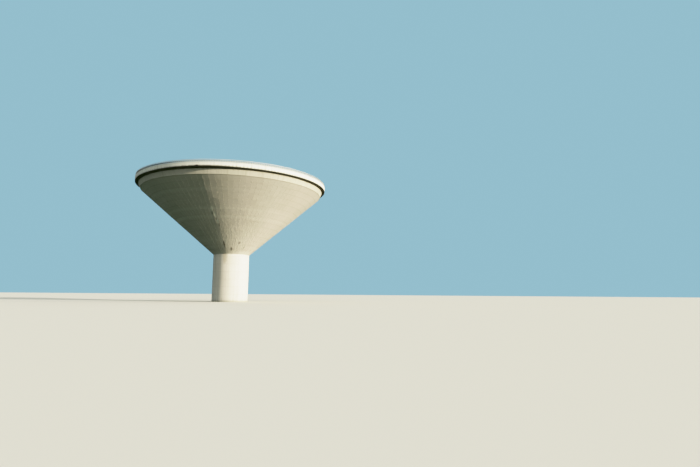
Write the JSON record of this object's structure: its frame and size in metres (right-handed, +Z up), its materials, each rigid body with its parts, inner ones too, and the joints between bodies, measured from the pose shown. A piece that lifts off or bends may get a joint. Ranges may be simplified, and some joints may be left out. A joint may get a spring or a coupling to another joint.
{
  "type": "conical concrete water tower",
  "caption": "Elevated water tank: an inverted concrete cone on a round white shaft, with a ring beam, a walkway, a parapet with a railing, and a shallow domed roof.",
  "frame": {"origin": "centre of the shaft's foot, at ground level", "axes": "+Z up along the shaft's axis; -Y is the front, and the doorway is in the back, at +Y"},
  "size_m": [38, 38, 26.16],
  "materials": {
    "cone_concrete": "board-marked bare concrete, matte",
    "band_paint": "cream painted concrete, matte",
    "white_paint": "white painted concrete, matte, lightly stained",
    "roof_concrete": "trowelled weathered concrete, matte",
    "rail_paint": "grey painted steel, satin",
    "door_paint": "grey-green painted steel, satin"
  },
  "bodies": {
    "root": {"shaft_floor": "roof_concrete", "shaft_wall_1": "white_paint", "shaft_wall_2": "white_paint", "shaft_wall_3": "white_paint", "shaft_wall_4": "white_paint", "door_frame": "door_paint", "door_leaf": "door_paint", "tank_floor": "cone_concrete", "cone_wall_1": "cone_concrete", "cone_wall_2": "cone_concrete", "cone_wall_3": "cone_concrete", "cone_wall_4": "cone_concrete", "cone_wall_5": "cone_concrete", "cone_wall_6": "cone_concrete", "cone_wall_7": "cone_concrete", "cone_wall_8": "cone_concrete", "ring_beam_1": "band_paint", "ring_beam_2": "band_paint", "ring_beam_3": "band_paint", "ring_beam_4": "band_paint", "walkway_slab_1": "white_paint", "walkway_slab_2": "white_paint", "walkway_slab_3": "white_paint", "walkway_slab_4": "white_paint", "parapet_1": "white_paint", "parapet_2": "white_paint", "parapet_3": "white_paint", "parapet_4": "white_paint", "railing_1": "rail_paint", "railing_2": "rail_paint", "railing_3": "rail_paint", "railing_4": "rail_paint", "roof_dome_1": "roof_concrete", "roof_dome_2": "roof_concrete", "roof_dome_3": "roof_concrete", "roof_dome_4": "roof_concrete", "hatch_kerb": "roof_concrete", "hatch_lid": "rail_paint", "roof_vent_1": "rail_paint", "roof_vent_2": "rail_paint"}
  },
  "joints": []
}
